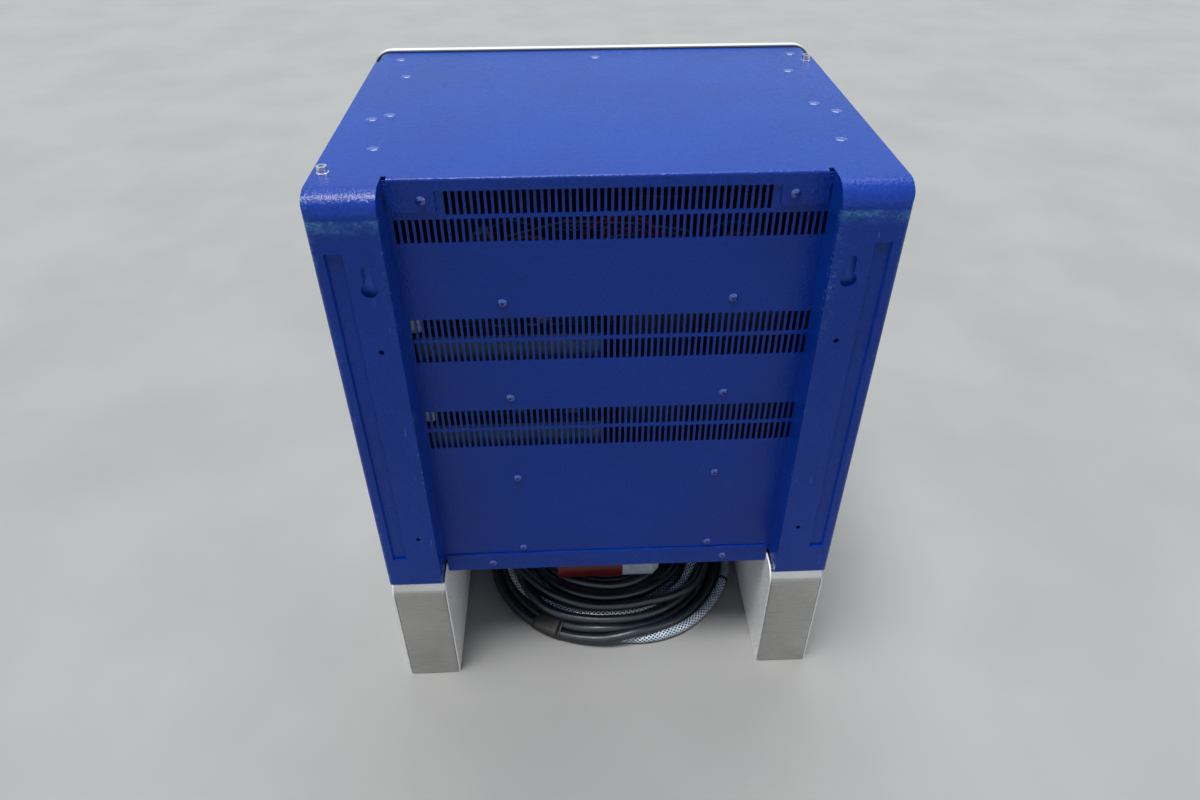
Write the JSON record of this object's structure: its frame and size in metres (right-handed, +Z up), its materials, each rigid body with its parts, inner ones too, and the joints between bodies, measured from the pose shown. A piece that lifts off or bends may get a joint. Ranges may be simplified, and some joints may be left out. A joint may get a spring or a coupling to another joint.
{
  "type": "battery charger",
  "caption": "Free-standing sheet-metal charging cabinet on box feet, with slotted vents, keyholes, a coil of cables, an air hose and a supply plug.",
  "frame": {"origin": "on the floor, under the middle of the outer box without the cords", "axes": "+Z up; the rear side with the keyholes and the vent rows faces -Y; the display side faces +Y; +X is to the right when the rear side is looked at"},
  "size_m": [0.574, 0.458, 0.7118],
  "materials": {
    "blue_paint": "fine textured powder coat, worn at the roll",
    "foot_steel": "brushed, lightly scratched",
    "light_paint": "satin powder coat",
    "black_paint": "satin powder coat",
    "zinc_sheet": "dull zinc plating",
    "screw_steel": "zinc plated",
    "black_rubber": "matte",
    "dark_window": "smoked, glossy",
    "keypad_foil": "fine matte foil",
    "green_board": "satin solder resist",
    "bare_aluminium": "extruded, dull",
    "copper_wire": "enamelled copper",
    "ferrite": "matte dark grey",
    "capacitor_sleeve": "shrink sleeve",
    "black_plastic": "matte, glass filled",
    "loom_sleeve": "soft insulation",
    "grey_plastic": "matte",
    "pump_body": "painted casting",
    "fitting_brass": "turned, dull",
    "cable_jacket": "matte, slightly dusty",
    "braided_hose": "clear hose over a braid",
    "plug_red": "satin",
    "plug_grey": "satin"
  },
  "bodies": {
    "cabinet": {"housing_cover": "blue_paint", "rear_vent_panel": "blue_paint", "base_tray": "blue_paint", "side_frame_left": "zinc_sheet", "side_frame_right": "zinc_sheet", "front_frame": "black_paint", "front_gasket": "black_rubber", "front_panel": "light_paint", "display_window": "dark_window", "membrane_keypad": "keypad_foil", "control_board": "green_board", "top_cap_screws": "screw_steel", "panel_screws": "blue_paint", "foot_bolts": "screw_steel", "foot_shell_left": "foot_steel", "foot_shell_right": "foot_steel", "foot_plates_left": "light_paint", "foot_plates_right": "light_paint", "module_tray_1": "zinc_sheet", "heatsink_1": "bare_aluminium", "power_board_1": "green_board", "inductors_1": "copper_wire", "capacitors_1": "capacitor_sleeve", "transformer_core_1": "ferrite", "transformer_winding_1": "copper_wire", "fan_frame_1": "black_plastic", "module_tray_2": "zinc_sheet", "heatsink_2": "bare_aluminium", "power_board_2": "green_board", "inductors_2": "copper_wire", "capacitors_2": "capacitor_sleeve", "transformer_core_2": "ferrite", "transformer_winding_2": "copper_wire", "fan_frame_2": "black_plastic", "top_shelf": "zinc_sheet", "mains_contactor": "black_plastic", "dc_busbars": "copper_wire", "wiring_loom": "loom_sleeve", "terminal_block": "grey_plastic", "air_pump": "pump_body", "cable_glands": "black_plastic", "hose_fitting": "fitting_brass", "cable_coil": "cable_jacket", "cable_tape": "cable_jacket", "cable_tie": "black_plastic", "dc_lead_1": "cable_jacket", "dc_tail_1": "cable_jacket", "dc_lead_2": "cable_jacket", "dc_tail_2": "cable_jacket", "mains_lead": "cable_jacket", "mains_tail": "cable_jacket", "hose_lead": "braided_hose", "hose_tail": "braided_hose", "plug_shroud": "plug_red", "plug_grip": "plug_grey", "plug_pins": "fitting_brass", "battery_connector": "grey_plastic"},
    "fan_rotor_1": {"fan_rotor_1": "black_plastic"},
    "fan_rotor_2": {"fan_rotor_2": "black_plastic"}
  },
  "joints": [
    {"name": "fan_spin_1", "type": "hinge", "parent": "cabinet", "child": "fan_rotor_1", "pos_m": [0.1102, 0.1435, 0.5125], "axis": [0, 1, 0], "continuous": true},
    {"name": "fan_spin_2", "type": "hinge", "parent": "cabinet", "child": "fan_rotor_2", "pos_m": [0.1102, 0.1435, 0.3925], "axis": [0, 1, 0], "continuous": true}
  ]
}
